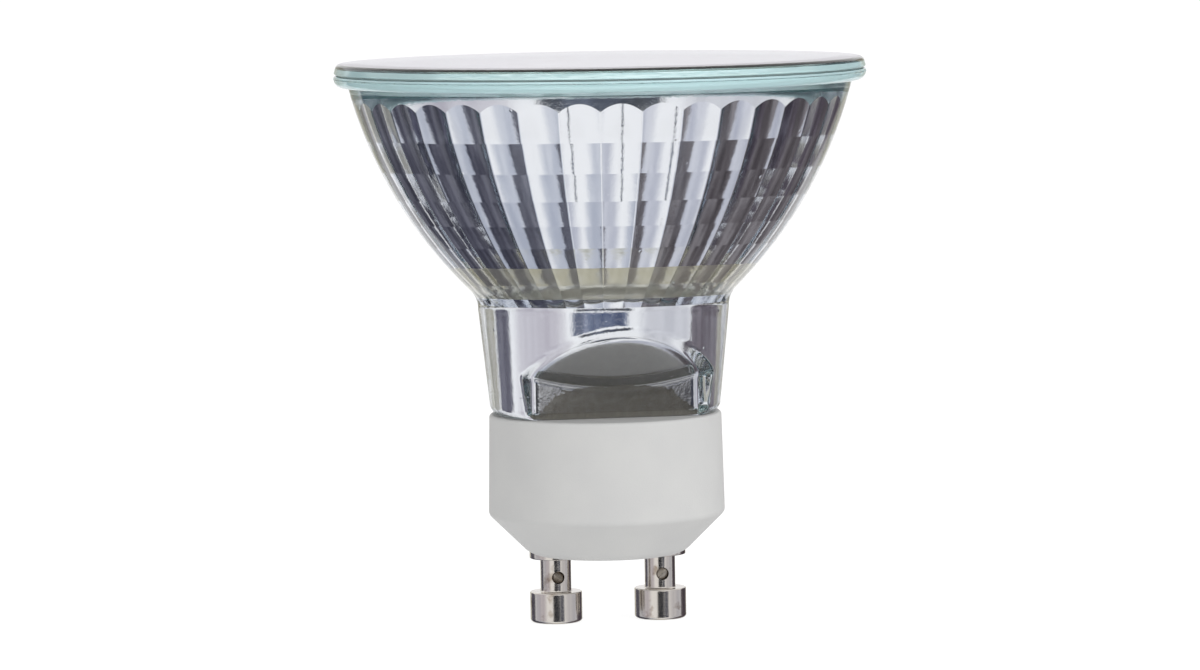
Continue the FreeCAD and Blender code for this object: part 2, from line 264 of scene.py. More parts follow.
def new_material(name, **sockets):
    """A material with one Principled shader, whose sockets are set by name with _ for a space."""
    material = bpy.data.materials.new(name)
    material.use_nodes = True
    tree = material.node_tree
    shader = tree.nodes["Principled BSDF"]
    for key, value in sockets.items():
        shader.inputs[key.replace("_", " ")].default_value = value
    where = add(tree, "ShaderNodeTexCoord").outputs["Object"]
    return material, tree, shader, where


def per_mm(size):
    """Texture scale, in waves to the metre, for a feature of a size in millimetres."""
    return 1 / (size * MM)


def pressed_glass(name, tint, density, waves):
    """Soda-lime glass pressed in an iron mould: clear, a little green in depth, with a skin that is
    not quite even and lets lines behind it wander. The waves are a height in millimetres."""
    material, tree, shader, where = new_material(
        name, Base_Color=linear("#FFFFFF"), Roughness=0.0, IOR=1.5, Transmission_Weight=1.0)
    ripple = add(tree, "ShaderNodeTexNoise",
                 {"Vector": where, "Scale": per_mm(2.2), "Detail": 2.0, "Roughness": 0.55})
    add(tree, "ShaderNodeBump", {"Height": ripple.outputs["Fac"], "Strength": 1.0, "Distance": waves * MM},
        {"Normal": shader.inputs["Normal"]})
    add(tree, "ShaderNodeVolumeAbsorption", {"Color": linear(tint), "Density": density},
        {"Volume": tree.nodes["Material Output"].inputs["Volume"]})
    return material


def rim_glass():
    """The edge of the same glass: light that enters there has a long way and leaves green."""
    material, tree, shader, where = new_material(
        "rim_glass", Base_Color=linear("#D8F8FA"), Roughness=0.02, IOR=1.5, Transmission_Weight=0.5)
    ripple = add(tree, "ShaderNodeTexNoise", {"Vector": where, "Scale": per_mm(1.4), "Detail": 2.0})
    add(tree, "ShaderNodeBump", {"Height": ripple.outputs["Fac"], "Strength": 1.0, "Distance": 0.004 * MM},
        {"Normal": shader.inputs["Normal"]})
    return material


def mirror_film():
    """Aluminium evaporated on pressed glass from above: a bright mirror that keeps the orange peel and
    a few pits of the mould, so that reflected edges come out jagged. In the neck it is thin on the bump
    behind each recess, and in a low arch at the foot of the bump it is missing, so that the cement shows
    through the glass. A place is thin where the length of (x, y, z), each over its reach, is under one."""
    material, tree, shader, where = new_material(
        "mirror_film", Base_Color=linear("#E9EBF0"), Roughness=0.05, IOR=1.5, Transmission_Weight=1.0)
    peel = add(tree, "ShaderNodeTexNoise",
               {"Vector": where, "Scale": per_mm(0.9), "Detail": 4.0, "Roughness": 0.72})
    spots = add(tree, "ShaderNodeTexVoronoi", {"Vector": where, "Scale": per_mm(1.1)})
    pit = add(tree, "ShaderNodeMapRange", {"Value": spots.outputs["Distance"], "From Min": 0.04,
                                           "From Max": 0.14, "To Min": 2.5, "To Max": 0.0})
    rare = add(tree, "ShaderNodeMath", {0: spots.outputs["Color"], 1: 0.8}, operation="GREATER_THAN")
    relief = add(tree, "ShaderNodeMath", {0: pit.outputs["Result"], 1: rare.outputs["Value"],
                                          2: peel.outputs["Fac"]}, operation="MULTIPLY_ADD")
    add(tree, "ShaderNodeBump", {"Height": relief.outputs["Value"], "Strength": 1.0, "Distance": 0.008 * MM},
        {"Normal": shader.inputs["Normal"]})
    film = 1.0
    for reaches, left, rough_edge in THIN_FILM:
        scale = [per_mm(size) if size else 0 for size in reaches]
        scaled = add(tree, "ShaderNodeMapping", {
            "Vector": where, "Location": (0, 0, -FILM_FOOT * MM * scale[2]), "Scale": scale})
        reach = add(tree, "ShaderNodeVectorMath", {0: scaled.outputs["Vector"]}, operation="LENGTH")
        ragged = add(tree, "ShaderNodeMath", {
            0: peel.outputs["Fac"], 1: rough_edge, 2: reach.outputs["Value"]}, operation="MULTIPLY_ADD")
        edge = 1 + rough_edge / 2
        coated = add(tree, "ShaderNodeMapRange", {
            "Value": ragged.outputs["Value"], "From Min": edge - FILM_FADE, "From Max": edge + FILM_FADE,
            "To Min": left, "To Max": 1.0})
        film = add(tree, "ShaderNodeMath", {0: film, 1: coated.outputs["Result"]},
                   operation="MINIMUM").outputs["Value"]
    tree.links.new(film, shader.inputs["Metallic"])
    return material


def shoulder_film():
    """The same film on the rough shoulder over the neck: a bright mirror from the inside of the bowl,
    and beige and satin from behind, through the rough glass that it sits on."""
    material, tree, shader, where = new_material("shoulder_film", Roughness=0.12)
    behind = add(tree, "ShaderNodeNewGeometry").outputs["Backfacing"]
    add(tree, "ShaderNodeMix", {"Factor": behind, "A": linear("#E9EBF0"), "B": linear("#F3F0E2")},
        {"Result": shader.inputs["Base Color"]}, data_type="RGBA")
    add(tree, "ShaderNodeMapRange", {"Value": behind, "To Min": 1.0, "To Max": 0.68},
        {"Result": shader.inputs["Metallic"]})
    lumps = add(tree, "ShaderNodeTexNoise", {"Vector": where, "Scale": per_mm(1.2), "Detail": 4.0})
    add(tree, "ShaderNodeBump", {"Height": lumps.outputs["Fac"], "Strength": 1.0, "Distance": 0.03 * MM},
        {"Normal": shader.inputs["Normal"]})
    return material


def steatite():
    """Dry-pressed steatite, fired without glaze: matt, nearly white, with a fine grain, faint clouds
    and a few dark grains of iron."""
    material, tree, shader, where = new_material("steatite", Roughness=0.6, IOR=1.5)
    cloud = add(tree, "ShaderNodeTexNoise", {"Vector": where, "Scale": per_mm(5), "Detail": 4.0})
    tone = add(tree, "ShaderNodeMix", {"Factor": cloud.outputs["Fac"], "A": linear("#BEBEBE"),
                                       "B": linear("#CACAC8")}, data_type="RGBA")
    grains = add(tree, "ShaderNodeTexVoronoi", {"Vector": where, "Scale": per_mm(1.6)})
    speck = add(tree, "ShaderNodeMapRange", {"Value": grains.outputs["Distance"], "From Min": 0.03,
                                             "From Max": 0.06, "To Min": 0.35, "To Max": 0.0})
    rare = add(tree, "ShaderNodeMath", {0: grains.outputs["Color"], 1: 0.86}, operation="GREATER_THAN")
    shown = add(tree, "ShaderNodeMath", {0: speck.outputs["Result"], 1: rare.outputs["Value"]},
                operation="MULTIPLY")
    add(tree, "ShaderNodeMix", {"Factor": shown.outputs["Value"], "A": tone.outputs["Result"],
                                "B": linear("#6E6A64")},
        {"Result": shader.inputs["Base Color"]}, data_type="RGBA")
    grain = add(tree, "ShaderNodeTexNoise", {"Vector": where, "Scale": per_mm(0.18), "Detail": 3.0})
    add(tree, "ShaderNodeBump", {"Height": grain.outputs["Fac"], "Strength": 1.0, "Distance": 0.012 * MM},
        {"Normal": shader.inputs["Normal"]})
    return material


def nickel():
    """Nickel on turned brass: a warm polished metal with turning lines round it and a little tarnish."""
    material, tree, shader, where = new_material("nickel", Metallic=1.0)
    stretched = add(tree, "ShaderNodeMapping", {"Vector": where, "Scale": (0.15, 0.15, 1.0)})
    lines = add(tree, "ShaderNodeTexNoise",
                {"Vector": stretched.outputs["Vector"], "Scale": per_mm(0.12), "Detail": 3.0})
    stain = add(tree, "ShaderNodeTexNoise", {"Vector": where, "Scale": per_mm(1.3), "Detail": 4.0})
    worn = add(tree, "ShaderNodeMapRange",
               {"Value": stain.outputs["Fac"], "From Min": 0.58, "From Max": 0.72})
    add(tree, "ShaderNodeMix", {"Factor": worn.outputs["Result"], "A": linear("#D6D0C9"),
                                "B": linear("#A5988B")},
        {"Result": shader.inputs["Base Color"]}, data_type="RGBA")
    add(tree, "ShaderNodeMapRange", {"Value": lines.outputs["Fac"], "To Min": 0.08, "To Max": 0.24},
        {"Result": shader.inputs["Roughness"]})
    add(tree, "ShaderNodeBump", {"Height": lines.outputs["Fac"], "Strength": 1.0, "Distance": 0.003 * MM},
        {"Normal": shader.inputs["Normal"]})
    return material


def drawn_wire(name, light, dark, roughness):
    """Drawn wire: a dull metal with stains along it."""
    material, tree, shader, where = new_material(name, Metallic=1.0, Roughness=roughness)
    stain = add(tree, "ShaderNodeTexNoise", {"Vector": where, "Scale": per_mm(0.5), "Detail": 4.0})
    add(tree, "ShaderNodeMix", {"Factor": stain.outputs["Fac"], "A": linear(light), "B": linear(dark)},
        {"Result": shader.inputs["Base Color"]}, data_type="RGBA")
    add(tree, "ShaderNodeBump", {"Height": stain.outputs["Fac"], "Strength": 1.0, "Distance": 0.01 * MM},
        {"Normal": shader.inputs["Normal"]})
    return material


def quartz():
    """Fused quartz: clear and colourless, drawn smooth by the flame."""
    material, tree, shader, where = new_material(
        "quartz", Base_Color=linear("#FFFFFF"), Roughness=0.0, IOR=1.46, Transmission_Weight=1.0)
    flow = add(tree, "ShaderNodeTexNoise", {"Vector": where, "Scale": per_mm(3.0), "Detail": 1.0})
    add(tree, "ShaderNodeBump", {"Height": flow.outputs["Fac"], "Strength": 1.0, "Distance": 0.01 * MM},
        {"Normal": shader.inputs["Normal"]})
    return material


def cement():
    """Mineral lamp cement: a coarse beige paste that dried matt."""
    material, tree, shader, where = new_material("cement", Roughness=0.9)
    lumps = add(tree, "ShaderNodeTexNoise", {"Vector": where, "Scale": per_mm(0.7), "Detail": 6.0})
    add(tree, "ShaderNodeMix", {"Factor": lumps.outputs["Fac"], "A": linear("#8E887B"),
                                "B": linear("#B0AA9C")},
        {"Result": shader.inputs["Base Color"]}, data_type="RGBA")
    add(tree, "ShaderNodeBump", {"Height": lumps.outputs["Fac"], "Strength": 1.0, "Distance": 0.15 * MM},
        {"Normal": shader.inputs["Normal"]})
    return material


def seal_silicone():
    """Clear silicone in a thin joint: it looks like a dark green line."""
    material, tree, shader, where = new_material("seal_silicone", Roughness=0.35)
    mottle = add(tree, "ShaderNodeTexNoise", {"Vector": where, "Scale": per_mm(1.5), "Detail": 3.0})
    add(tree, "ShaderNodeMix", {"Factor": mottle.outputs["Fac"], "A": linear("#74898A"),
                                "B": linear("#A3B5B3")},
        {"Result": shader.inputs["Base Color"]}, data_type="RGBA")
    return material


# Reflector

BOWL_R = 41.7
BOWL_CENTRE = np.array([-16.7, 61.17])
BOWL_WALL = 1.9
FLUTES = 36
# Columns of the grid within one flute, closer together at its ridges.
FLUTE_STEPS = np.array([0, 0.035, 0.1, 0.2, 0.3, 0.4, 0.5, 0.6, 0.7, 0.8, 0.9, 0.965])
FLUTE_CROWN = 0.0075
# Edges of the rings of facets, in degrees below the level of the bowl's centre. Each ring is a little
# narrower than the one over it.
TOP_EDGE, NEXT_EDGE = 12.6, 21.86
RING_WIDTH, RING_SHRINK, RINGS = 4.4, 0.94, 8
RING_ANGLES = [TOP_EDGE] + [
    NEXT_EDGE + RING_WIDTH * (1 - RING_SHRINK ** k) / (1 - RING_SHRINK) for k in range(RINGS)]
SHOULDER_RINGS = 2
MOUTH_R, MOUTH_ROUND = 21.1, 0.2
FILM_TOP = 50.65
BORE_R, BORE_ROUND = 9.3, 0.25
BORE_TOP = 30.6
FILM_WALL = 1.45
NECK_FOOT_R, NECK_FOOT_ROUND = 9.95, 0.95
NECK_TOP = np.array([11.84, 29.6])
BOWL_FOOT = np.array([12.75, 31.65])
BOWL_TOP = np.array([23.68, 50.75])
NECK_FILLET = 2.6
RIM_ROUND, RIM_TOP_ROUND = 0.75, 0.15
RECESS_FLAT = 6.6
RECESS_CREASE, RECESS_CREASE_ROUND = 22.44, 0.3
RECESS_SLOPE = math.radians(49.5)
RECESS_EDGE_ROUND = 0.22
RECESS_BROW_R = 42.0
RECESS_FOOT_ROUND = 0.5
# Between these levels the grid is fine, for the edge of the brow.
BROW_LEVELS = (22.2, 28.9)
# Least sine of an angle, so that the distance to the recess stays finite at its sides.
LEAST_SINE = 0.02
# Rows of the grid across the foot of the neck, as shares of its width.
FOOT_ROWS = (0.34, 0.67)
# Places of the finishes in the reflector's list, after its clear glass.
EDGE, FILM, SHOULDER = 1, 2, 3


def flute_radius(ring_r, angle):
    """Radius of a ring of flutes at an angle. Each flute is an arc between two ridges on the circle of
    radius ring_r that bulges towards the axis: the near side of a circle with its centre at a distance
    d out on the middle of the flute, r = d cos t - sqrt(rho^2 - d^2 sin^2 t)."""
    half = math.pi / FLUTES
    t = np.mod(angle, 2 * half) - half
    chord, middle = ring_r * math.cos(half), ring_r * (math.cos(half) - FLUTE_CROWN)
    d = (ring_r ** 2 - middle ** 2) / (2 * (chord - middle))
    return d * np.cos(t) - np.sqrt((d - middle) ** 2 - (d * np.sin(t)) ** 2)


def recess_radius(angle, z, inset=0):
    """Distance from the axis to the recess, at an angle and a height: a flat window at RECESS_FLAT
    from the axis, and over the crease the brow, a big cylinder that rises outwards at RECESS_SLOPE. On
    the brow r solves a r^2 + b r = k. The inside of the wall is the same form, moved in by an inset."""
    across = np.maximum(np.abs(np.sin(angle)), LEAST_SINE)
    up = np.clip(RECESS_FOOT_ROUND - (z - BASE_TOP), 0, RECESS_FOOT_ROUND)
    foot = RECESS_FOOT_ROUND - np.sqrt(RECESS_FOOT_ROUND ** 2 - up ** 2)
    window = (RECESS_FLAT - foot - inset) / across
    a = np.cos(angle) ** 2 / (2 * RECESS_BROW_R)
    b = across * math.sin(RECESS_SLOPE)
    k = RECESS_FLAT * math.sin(RECESS_SLOPE) + (z - RECESS_CREASE) * math.cos(RECESS_SLOPE) - inset
    k = np.maximum(k, 0)
    brow = 2 * k / (b + np.sqrt(b ** 2 + 4 * a * k))
    return soft_max(window, brow, RECESS_CREASE_ROUND)


def reflector(edge_glass):
    """One closed surface: up the outside from the foot of the neck to the rim, over the mouth, down the
    flutes and down the bore of the neck, which keeps an even wall behind each recess. The neck is the
    smaller of a cone and the recess, with a rounded edge between them."""
    angle = (np.arange(FLUTES)[:, None] + FLUTE_STEPS).ravel() * 2 * math.pi / FLUTES
    foot_z = BASE_TOP + AIR_GAP
    neck_low = np.array([NECK_FOOT_R + NECK_FOOT_ROUND, foot_z + NECK_FOOT_ROUND])
    neck_lean = (NECK_TOP - neck_low) / (NECK_TOP[1] - neck_low[1])
    brow_low, brow_high = (neck_low + neck_lean * (z - neck_low[1]) for z in BROW_LEVELS)
    outside = np.concatenate([
        [[NECK_FOOT_R, foot_z]],
        arc((NECK_FOOT_R, foot_z), neck_low, NECK_FOOT_ROUND, 8),
        run(neck_low, brow_low, 12),
        run(brow_low, brow_high, 62),
        run(brow_high, NECK_TOP, 4),
        arc(NECK_TOP, BOWL_FOOT, -NECK_FILLET, 8),
        arc(BOWL_FOOT, BOWL_TOP, BOWL_R, 30),
    ])
    neck = soft_min(outside[:, :1], recess_radius(angle, outside[:, 1:]), RECESS_EDGE_ROUND)
    rim = rounded([
        (*BOWL_TOP, 0),
        (RIM_R, BOWL_TOP[1], RIM_ROUND),
        (RIM_R, RIM_TOP - AIR_GAP, RIM_TOP_ROUND),
        (MOUTH_R, RIM_TOP - AIR_GAP, MOUTH_ROUND),
        (MOUTH_R, FILM_TOP, 0),
    ])[1:]

    rings = [BOWL_CENTRE + (BOWL_R - BOWL_WALL) * np.array([math.cos(t), -math.sin(t)])
             for t in np.radians(RING_ANGLES)]
    ring_r = [flute_radius(r, angle) for r, z in rings]
    drop = (MOUTH_R - ring_r[1]) / (ring_r[0] - ring_r[1])
    scallop_z = rings[1][1] + drop * (rings[0][1] - rings[1][1])
    bore_z = np.append(np.linspace(BORE_TOP, FILM_FOOT, 48), foot_z)
    bore = soft_min(BORE_R, recess_radius(angle, bore_z[:, None], FILM_WALL), BORE_ROUND)

    def row(r, z):
        """One row of the grid: (r cos a, r sin a, z) at each angle a."""
        r, z = np.broadcast_to(r, angle.shape), np.broadcast_to(z, angle.shape)
        return np.stack([r * np.cos(angle), r * np.sin(angle), z], axis=-1)

    rows = [row(r, z) for r, z in zip(neck, outside[:, 1])]
    rows += [row(r, z) for r, z in rim]
    film_first = len(rows) - 1
    rows.append(row(MOUTH_R, scallop_z))
    rows += [row(r, ring[1]) for r, ring in zip(ring_r[1:], rings[1:])]
    floor_first = len(rows) - 1
    rows += [row(r, z) for r, z in zip(bore, bore_z)]
    film_last = len(rows) - 2
    rows += [row(bore[-1] * (1 - part) + neck[0] * part, foot_z) for part in FOOT_ROWS]
    count = len(rows)

    finishes = [
        pressed_glass("pressed_glass", "#C9E6E0", 6.0, 0.01), edge_glass, mirror_film(), shoulder_film(),
    ]
    thing = make_piece("reflector_glass", np.concatenate(rows), net(count, len(angle), ring=True), finishes)
    mesh = thing.data

    kind = np.zeros((count, len(angle)), np.int32)
    kind[len(neck):film_first] = EDGE
    kind[film_first:film_last] = FILM
    kind[floor_first - SHOULDER_RINGS:floor_first] = SHOULDER
    mesh.polygons.foreach_set("material_index", kind.ravel())

    # Hard edges run along the foot, under the rim, between the rings of facets and at the end of the film.
    ends = np.empty(len(mesh.edges) * 2, np.int32)
    mesh.edges.foreach_get("vertices", ends)
    level = ends.reshape(-1, 2) // len(angle)
    along_row = level[:, 0] == level[:, 1]
    hard_rows = [len(neck) - 1, *range(film_first + 1, floor_first + 2), film_last + 1, 0]
    sharp = along_row & np.isin(level[:, 0], hard_rows)
    mesh.attributes["sharp_edge"].data.foreach_set("value", sharp)
    stands_for(thing, "reflector")


# Other pieces


def cover(edge_glass):
    """Flat disc with a border that falls a little and turns over in a round shoulder to a leaning edge.
    The edge is green up to the shoulder."""
    border_r, border_drop, border_round = 22.4, 0.07, 0.3
    edge_lean, edge_round, foot_round = 0.25, 0.55, 0.1
    green_width, clear_height = 0.3, 0.45
    low, high = COVER_LOW[2] + AIR_GAP, COVER_HIGH[2]
    section = rounded([
        (0, low, 0),
        (RIM_R, low, foot_round),
        (RIM_R - edge_lean, high - border_drop, edge_round),
        (border_r, high, border_round),
        (0, high, 0),
    ], steps=10)
    glass = pressed_glass("cover_glass", "#1FC9BE", 8.0, 0.006)
    columns = 288
    thing = make_piece("cover_disc", *closed_skin(round_the_axis(section, columns)), [glass, edge_glass])
    on_edge = (section[1:-2, 0] > RIM_R - green_width) & (section[2:-1, 1] < high - clear_height)
    kind = np.concatenate([np.repeat(on_edge, columns), np.zeros(2 * columns)]).astype(np.int32)
    thing.data.polygons.foreach_set("material_index", kind)
    stands_for(thing, "cover_glass")


def base():
    """Turned cup with a wide chamfer, out of which a slot for the cement and stepped holes for the pins
    are cut with bars that reach a little past it."""
    foot_r, foot_round = 7.2, 2.2
    chamfer_top, chamfer_round = 10.25, 0.7
    top_r, top_round = 10.95, 0.3
    section = rounded([
        (0, BASE_LOW[2], 0),
        (foot_r, BASE_LOW[2], foot_round),
        (BASE_HIGH[0], chamfer_top, chamfer_round),
        (top_r, BASE_TOP, top_round),
        (0, BASE_TOP, 0),
    ])
    thing = make_piece("ceramic_cup", *closed_skin(round_the_axis(section, 192)), [steatite()])
    collar_depth, hole_r, pocket_floor = 0.5, 1.5, 10.4
    pocket_half = (3.0, 5.4)
    past = 1
    angle = np.arange(96) * 2 * math.pi / 96
    pocket_r = stadium_radius(angle, *pocket_half)
    levels = np.array([pocket_floor, BASE_TOP + past])[:, None]
    wall = np.stack(np.broadcast_arrays(pocket_r * np.cos(angle), pocket_r * np.sin(angle), levels), axis=-1)
    caps = wall * np.array([0, 0, 1])
    pocket = closed_skin(np.stack([caps[0], wall[0], wall[1], caps[1]]))
    below = BASE_LOW[2] - past
    seats = [bar(PIN_HEAD_R, below, BASE_LOW[2] + collar_depth, (x, 0)) for x in (-PIN_X, PIN_X)]
    holes = [bar(hole_r, below, pocket_floor + past, (x, 0)) for x in (-PIN_X, PIN_X)]
    carve(thing, pocket, *seats, *holes)
    stands_for(thing, "ceramic_base")


def pin(side, x, finish):
    """Turned pin: mushroom head, groove, collar, tail with a riveted flare, and a cross hole."""
    shank_r, tail_r, flare_r, bore_r = 1.45, 1.5, 2.2, 0.38
    head_top, collar_low, collar_high, tail_top = 2.9, 6.05, 6.85, 10.4
    section = rounded([
        (0, 0, 0),
        (PIN_HEAD_R, 0, 0.28),
        (PIN_HEAD_R, head_top, 0.12),
        (shank_r, head_top, 0.1),
        (shank_r, collar_low, 0.1),
        (PIN_HEAD_R, collar_low, 0.08),
        (PIN_HEAD_R, collar_high, 0),
        (tail_r, collar_high, 0),
        (tail_r, tail_top, 0),
        (flare_r, tail_top, 0.05),
        (tail_r, PIN_HIGH[2], 0.05),
        (bore_r, PIN_HIGH[2], 0),
        (bore_r, HOLE_Z, 0),
        (0, HOLE_Z, 0),
    ], steps=5, margin=0.05)
    points, faces = closed_skin(round_the_axis(section, 128))
    thing = make_piece(f"pin_{side}", points + np.array([x, 0, 0]), faces, [finish])
    points, faces = bar(HOLE_R, -PIN_HEAD_R, PIN_HEAD_R, columns=48)
    carve(thing, (points[:, [0, 2, 1]] * np.array([1, -1, 1]) + np.array([x, 0, HOLE_Z]), faces))
    stands_for(thing, f"contact_pin_{side}")


def plug(side, x, finish, lean, depth):
    """Cut end of a wire in the cross hole: a bar along Y whose front is two slopes that meet in a ridge
    across the middle, y = front + depth * distance from the ridge."""
    reach = PLUG_HIGH[1]
    wire_r = HOLE_R - AIR_GAP
    radius = np.array([0, 0.3, 0.6, 0.85, 1, 1, 1, 0]) * wire_r
    along = np.array([-reach, -reach, -reach, -reach + 0.02, -reach + 0.1, 0, reach, reach])
    angle = np.arange(48) * 2 * math.pi / 48
    x_here = radius[:, None] * np.cos(angle)
    z_here = radius[:, None] * np.sin(angle)
    slope = depth * np.abs(x_here * math.cos(lean) + z_here * math.sin(lean))
    y_here = along[:, None] + np.where(along[:, None] < 0, slope, 0)
    grid = np.stack([x_here + x, y_here, z_here + HOLE_Z], axis=-1)
    thing = make_piece(f"plug_{side}", *closed_skin(grid[:, ::-1]), [finish])
    stands_for(thing, f"solder_plug_{side}")


def capsule(finish):
    """Blown bulb with a drawn tip: a round section that goes over into the flat pinch, r = pinch +
    (bulb - pinch) * s with a smooth step s, and a sealed room inside with its walls turned round."""
    bulb_r, wall, dome_r = 5.0, 0.95, 5.6
    pinch_half = (2.8, 1.6)
    neck_low, shoulder, dome, crown = 29.0, 33.0, 42.2, 45.4
    tip_foot_r, tip_r, tip_round = 0.9, 0.45, 0.5
    tip_z = CAPSULE_HIGH[2] - 0.3
    angle = np.arange(128) * 2 * math.pi / 128
    z = np.concatenate([[CAPSULE_LOW[2]] * 2, np.linspace(CAPSULE_LOW[2] + 0.3, neck_low, 5),
                        np.linspace(neck_low + 0.2, shoulder, 18), [dome - 2, dome - 0.2]])
    step = np.clip((z - neck_low) / (shoulder - neck_low), 0, 1)
    step = (step * step * (3 - 2 * step))[:, None]
    pinch_r = stadium_radius(angle, *pinch_half)
    shrink = np.array([0, 0.9] + [1] * (len(z) - 2))[:, None]
    low_r = (pinch_r * (1 - step) + bulb_r * step) * shrink
    top = np.concatenate([
        [[bulb_r, dome]],
        arc((bulb_r, dome), (tip_foot_r, crown), dome_r, 14),
        run((tip_foot_r, crown), (tip_r, tip_z), 3),
        arc((tip_r, tip_z), (0.0, CAPSULE_HIGH[2]), tip_round, 5),
    ])
    radii = np.concatenate([low_r, np.repeat(top[:, :1], len(angle), axis=1)])
    heights = np.concatenate([z, top[:, 1]])[:, None]
    grid = np.stack(np.broadcast_arrays(radii * np.cos(angle), radii * np.sin(angle), heights), axis=-1)
    points, faces = closed_skin(grid)
    room = rounded([
        (0, 31.9, 0), (2.4, 32.0, 1.0), (bulb_r - wall, 33.6, 1.5), (bulb_r - wall, dome + 0.6, 2.4),
        (1.8, 44.6, 1.5), (0, 44.8, 0),
    ], steps=8)
    inner_points, inner_faces = closed_skin(round_the_axis(room, 128), first=len(points))
    faces += [face[::-1] for face in inner_faces]
    thing = make_piece("capsule_bulb", np.concatenate([points, inner_points]), faces, [finish])
    stands_for(thing, "quartz_capsule")


def filament(finish):
    """Coil of fine wire: a tube round a helix, whose axis follows the upright runs and the top run of
    the filament with rounded bends."""
    wire_r, pitch, bend = 0.07, 0.26, 0.8
    coil_r = (FILAMENT_HIGH[1] - FILAMENT_LOW[1]) / 2 - wire_r
    side = FILAMENT_HIGH[0] - coil_r - wire_r
    top = FILAMENT_HIGH[2] - coil_r - wire_r
    route = rounded([(-side, FILAMENT_LOW[2], 0), (-side, top, bend), (side, top, bend),
                     (side, FILAMENT_LOW[2], 0)], steps=16)
    length = np.concatenate([[0], np.cumsum(np.hypot(*np.diff(route, axis=0).T))])
    turns = length[-1] / pitch
    s = np.linspace(0, length[-1], int(turns * 16))
    x, z = (np.interp(s, length, axis) for axis in route.T)
    heading = np.arctan2(np.gradient(z), np.gradient(x))
    phase = 2 * math.pi * s / pitch
    out = coil_r * np.cos(phase)
    middle = np.stack([x - out * np.sin(heading), coil_r * np.sin(phase), z + out * np.cos(heading)], axis=-1)
    tangent = np.gradient(middle, axis=0)
    tangent /= np.linalg.norm(tangent, axis=1, keepdims=True)
    outward = middle - np.stack([x, np.zeros_like(x), z], axis=-1)
    outward /= np.linalg.norm(outward, axis=1, keepdims=True)
    sideways = np.cross(tangent, outward)
    turn = np.arange(6) * 2 * math.pi / 6
    ring = (outward[:, None] * np.cos(turn)[:, None] + sideways[:, None] * np.sin(turn)[:, None]) * wire_r
    grid = np.concatenate([middle[:1, None] + ring[:1] * 0, middle[:, None] + ring,
                           middle[-1:, None] + ring[-1:] * 0])
    thing = make_piece("filament_coil", *closed_skin(grid), [finish], crease=80)
    stands_for(thing, "filament")


def dress(node, finish):
    """Gives a CAD node that keeps its shape its finish."""
    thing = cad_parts[node]
    thing.data.materials.clear()
    thing.data.materials.append(finish)


# Stage

CAMERA_TURN = -10
# Soft edge of a board, as a share of its half width and half height.
BOARD_EDGE = 0.3


def bearing(azimuth, elevation):
    """Unit vectors to the side, up and ahead of a direction that is given in degrees: its azimuth, round
    Z from the camera's side of the lamp, and its elevation."""
    a, e = math.radians(azimuth + CAMERA_TURN), math.radians(elevation)
    side = (math.cos(a), math.sin(a), 0)
    up = (-math.sin(a) * math.sin(e), math.cos(a) * math.sin(e), math.cos(e))
    ahead = (math.sin(a) * math.cos(e), -math.cos(a) * math.cos(e), math.sin(e))
    return side, up, ahead


